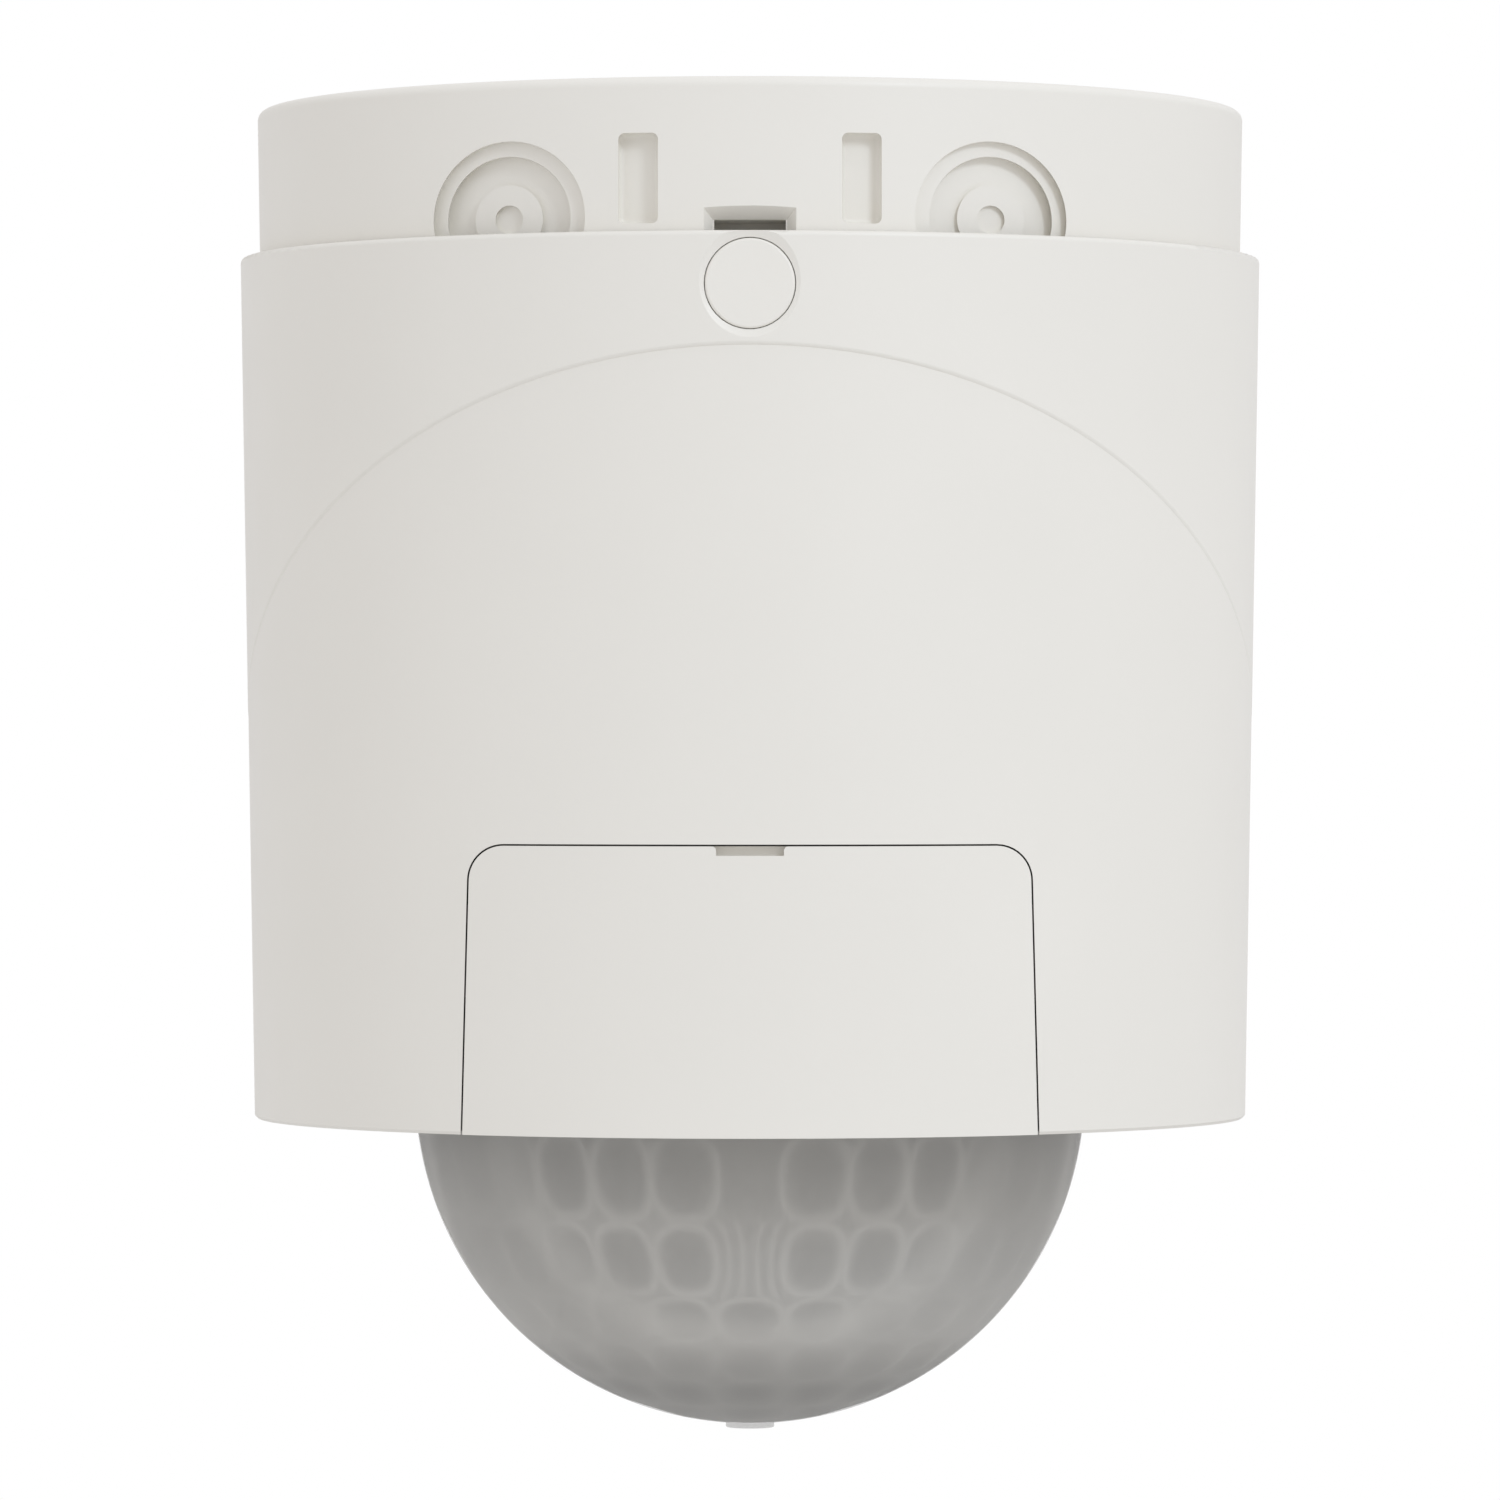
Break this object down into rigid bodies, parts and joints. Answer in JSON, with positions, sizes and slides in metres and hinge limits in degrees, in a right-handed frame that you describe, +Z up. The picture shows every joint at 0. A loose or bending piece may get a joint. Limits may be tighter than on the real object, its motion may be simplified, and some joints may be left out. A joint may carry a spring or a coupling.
{
  "type": "motion sensor",
  "caption": "Wall-mounted outdoor motion sensor with a half-round hood, hinged settings flap and hemispherical lens dome below.",
  "frame": {"origin": "centre of the flat wall face of the rear housing, on the middle of its width", "axes": "+X to the right seen from the front, +Y into the wall, +Z up"},
  "size_m": [0.103, 0.0964, 0.133],
  "materials": {
    "housing_plastic": "fine satin moulded off-white plastic",
    "hood_plastic": "fine satin moulded off-white plastic",
    "flap_plastic": "fine satin moulded off-white plastic",
    "cap_plastic": "fine satin moulded off-white plastic",
    "inner_plastic": "matt dark grey moulded plastic",
    "bezel_plastic": "matt light grey moulded plastic",
    "knob_plastic": "matt black moulded plastic",
    "button_plastic": "glossy red moulded plastic",
    "seal_rubber": "soft black rubber",
    "grommet_rubber": "soft grey rubber",
    "terminal_plastic": "hard dark grey plastic",
    "steel": "zinc plated",
    "brass_parts": "plain machined",
    "tin_parts": "tin plated",
    "board_laminate": "green solder resist",
    "relay_case": "glossy dark blue case",
    "capacitor_case": "glossy yellow case",
    "can_sleeve": "shrink sleeve, black",
    "fuse_case": "glossy brown case",
    "varistor_coat": "dipped blue coat",
    "chip_case": "matt black epoxy",
    "ribbon": "flexible grey flat cable",
    "lens_polymer": "milky grey translucent polymer, facetted inside",
    "can_metal": "nickel plated can",
    "filter_window": "dark infrared filter",
    "led_epoxy": "diffused red epoxy"
  },
  "bodies": {
    "wall_unit": {"rear_housing": "housing_plastic", "wall_gasket": "seal_rubber", "cable_grommet": "grommet_rubber", "fixing_hole_seals": "seal_rubber", "terminal_block": "terminal_plastic", "terminal_screws": "steel", "socket_contacts": "brass_parts", "terminal_block_screws": "steel", "threaded_insert": "brass_parts"},
    "front_unit": {"front_cover": "hood_plastic", "chassis": "inner_plastic", "chassis_screws": "steel", "main_board": "board_laminate", "board_screws": "steel", "relay": "relay_case", "film_capacitor": "capacitor_case", "electrolytic_capacitors": "can_sleeve", "fuse": "fuse_case", "varistor": "varistor_coat", "control_chips": "chip_case", "contact_pins": "tin_parts", "ribbon_cable": "ribbon", "control_bezel": "bezel_plastic", "bezel_screws": "steel", "control_board": "board_laminate", "trimmer_bodies": "terminal_plastic", "button_switch": "terminal_plastic", "status_led": "led_epoxy", "lens_dome": "lens_polymer", "dome_seal": "seal_rubber", "lens_ring": "inner_plastic", "lens_ring_screws": "steel", "sensor_board": "board_laminate", "sensor_carrier": "inner_plastic", "pyro_sensors": "can_metal", "sensor_windows": "filter_window", "light_sensor": "led_epoxy", "locking_screw": "steel"},
    "flap": {"settings_flap": "flap_plastic", "flap_seal": "seal_rubber"},
    "brightness_dial": {"brightness_knob": "knob_plastic"},
    "time_dial": {"time_knob": "knob_plastic"},
    "range_dial": {"range_knob": "knob_plastic"},
    "button": {"test_button": "button_plastic"},
    "cap": {"screw_cap": "cap_plastic"}
  },
  "joints": [
    {"name": "front_unit_pull", "type": "slide", "parent": "wall_unit", "child": "front_unit", "axis": [0, -1, 0], "range_m": [0, 0.06]},
    {"name": "flap_hinge", "type": "hinge", "parent": "front_unit", "child": "flap", "pos_m": [0, -0.084, -0.0485], "axis": [1, 0, 0], "range_deg": [0, 100]},
    {"name": "brightness_turn", "type": "hinge", "parent": "front_unit", "child": "brightness_dial", "pos_m": [-0.015, -0.086, -0.037], "axis": [0, -1, 0], "range_deg": [-135, 135]},
    {"name": "time_turn", "type": "hinge", "parent": "front_unit", "child": "time_dial", "pos_m": [0, -0.086, -0.037], "axis": [0, -1, 0], "range_deg": [-135, 135]},
    {"name": "range_turn", "type": "hinge", "parent": "front_unit", "child": "range_dial", "pos_m": [0.015, -0.086, -0.037], "axis": [0, -1, 0], "range_deg": [-135, 135]},
    {"name": "button_press", "type": "slide", "parent": "front_unit", "child": "button", "axis": [0, 1, 0], "range_m": [0, 0.0006], "stiffness_N_per_m": 500, "springref_m": -0.002},
    {"name": "cap_pull", "type": "slide", "parent": "front_unit", "child": "cap", "axis": [0, -1, 0], "range_m": [0, 0.006]}
  ]
}
